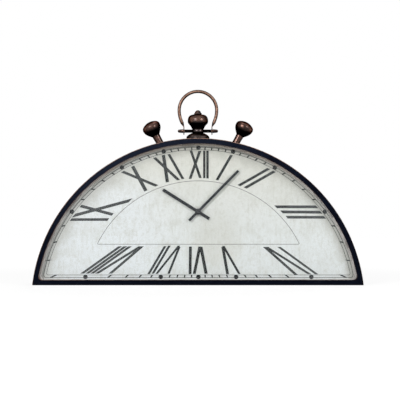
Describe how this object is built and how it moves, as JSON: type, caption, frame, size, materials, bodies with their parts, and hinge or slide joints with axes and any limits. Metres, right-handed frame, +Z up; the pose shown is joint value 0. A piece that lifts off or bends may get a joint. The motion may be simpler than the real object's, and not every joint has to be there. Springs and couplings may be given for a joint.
{
  "type": "table clock",
  "caption": "Half-moon quartz table clock: sheet-metal arch case, flat glass, roman dial, watch-style crown with a swinging bail and two fixed pushers.",
  "frame": {"origin": "middle of the flat underside, at half the depth", "axes": "+Z up, +X to the right of someone facing the dial, the dial faces -Y"},
  "size_m": [0.4958, 0.076, 0.2959],
  "materials": {
    "case_paint": "satin navy black enamel, worn to copper at the edges",
    "glass": "clear float glass",
    "gasket": "soft black foam",
    "spacer": "matt pale grey",
    "dial_paper": "aged off-white print paper, matt",
    "dial_board": "raw fibre board",
    "rear_board": "fibre board painted matt black",
    "zinc_steel": "zinc plated steel",
    "antique_copper": "antiqued copper, dark patina rubbed bright on the high spots",
    "bail_copper": "antiqued copper, more rubbed",
    "pin_black": "blackened steel",
    "movement_black": "moulded black plastic, fine texture",
    "gear_plastic": "natural acetal",
    "knob_plastic": "pale grey plastic",
    "bush_brass": "turned brass",
    "magnet": "bonded magnet with a plastic pinion",
    "motor_iron": "pressed soft iron",
    "coil_copper": "enamelled copper wire",
    "circuit_green": "green circuit board",
    "cell_jacket": "plain dark cell jacket with a copper band",
    "hand_black": "charcoal enamel, satin"
  },
  "bodies": {
    "case": {"arch_band": "case_paint", "base_panel": "case_paint", "front_rim": "case_paint", "glass_lens": "glass", "glass_gasket": "gasket", "movement_pad": "gasket", "dial_spacer": "spacer", "dial_sheet": "dial_paper", "dial_board": "dial_board", "rear_panel": "rear_board", "dial_brackets": "zinc_steel", "rear_brackets": "zinc_steel", "dial_screws": "zinc_steel", "rear_screws": "zinc_steel", "movement_screws": "zinc_steel", "arch_bolts": "zinc_steel", "arch_washers": "zinc_steel", "contact_left": "zinc_steel", "contact_right": "zinc_steel", "quartz_crystal": "zinc_steel", "crown_base": "antique_copper", "crown_collar": "antique_copper", "crown_onion": "antique_copper", "crown_button": "antique_copper", "pin_caps": "antique_copper", "pusher_left": "antique_copper", "pusher_right": "antique_copper", "cross_pin": "pin_black", "movement_case": "movement_black", "movement_cover": "movement_black", "coil_bobbin": "gear_plastic", "hand_bush": "bush_brass", "stator": "motor_iron", "coil_core": "motor_iron", "coil_winding": "coil_copper", "circuit_board": "circuit_green"},
    "minute_work": {"minute_arbor": "bush_brass", "minute_hand": "hand_black", "cap_nut": "hand_black"},
    "hour_work": {"hour_wheel": "gear_plastic", "hour_hand": "hand_black"},
    "set_work": {"minute_wheel": "gear_plastic", "set_knob": "knob_plastic"},
    "rotor": {"rotor": "magnet"},
    "intermediate_wheel": {"intermediate_wheel": "gear_plastic"},
    "seconds_wheel": {"seconds_wheel": "gear_plastic"},
    "third_wheel": {"third_wheel": "gear_plastic"},
    "centre_wheel": {"centre_wheel": "gear_plastic"},
    "bail": {"bail": "bail_copper"},
    "battery_cell": {"battery_cell": "cell_jacket"}
  },
  "joints": [
    {"name": "minute_spin", "type": "hinge", "parent": "case", "child": "minute_work", "pos_m": [0, 0, 0.11], "axis": [0, 1, 0], "continuous": true},
    {"name": "hour_spin", "type": "hinge", "parent": "case", "child": "hour_work", "pos_m": [0, 0, 0.11], "axis": [0, 1, 0], "continuous": true},
    {"name": "set_spin", "type": "hinge", "parent": "case", "child": "set_work", "pos_m": [0.011, 0, 0.11], "axis": [0, 1, 0], "continuous": true},
    {"name": "rotor_spin", "type": "hinge", "parent": "case", "child": "rotor", "pos_m": [0.00656, 0, 0.12551], "axis": [0, 1, 0], "continuous": true},
    {"name": "intermediate_spin", "type": "hinge", "parent": "case", "child": "intermediate_wheel", "pos_m": [0.00656, 0, 0.11781], "axis": [0, 1, 0], "continuous": true},
    {"name": "seconds_spin", "type": "hinge", "parent": "case", "child": "seconds_wheel", "pos_m": [0, 0, 0.11], "axis": [0, 1, 0], "continuous": true},
    {"name": "third_spin", "type": "hinge", "parent": "case", "child": "third_wheel", "pos_m": [-0.00883, 0, 0.1151], "axis": [0, 1, 0], "continuous": true},
    {"name": "centre_spin", "type": "hinge", "parent": "case", "child": "centre_wheel", "pos_m": [0, 0, 0.11], "axis": [0, 1, 0], "continuous": true},
    {"name": "bail_swing", "type": "hinge", "parent": "case", "child": "bail", "pos_m": [0, 0, 0.2329], "axis": [1, 0, 0], "range_deg": [-105, 105]},
    {"name": "cell_slide", "type": "slide", "parent": "case", "child": "battery_cell", "axis": [0, 1, 0], "range_m": [0, 0.062]}
  ],
  "couplings": [
    {"joint": "hour_spin", "follows": "minute_spin", "ratio": 0.083333},
    {"joint": "set_spin", "follows": "minute_spin", "ratio": -0.33333},
    {"joint": "intermediate_spin", "follows": "rotor_spin", "ratio": -0.16667},
    {"joint": "seconds_spin", "follows": "rotor_spin", "ratio": 0.033333},
    {"joint": "third_spin", "follows": "rotor_spin", "ratio": -0.0044444},
    {"joint": "centre_spin", "follows": "rotor_spin", "ratio": 0.00055556}
  ]
}
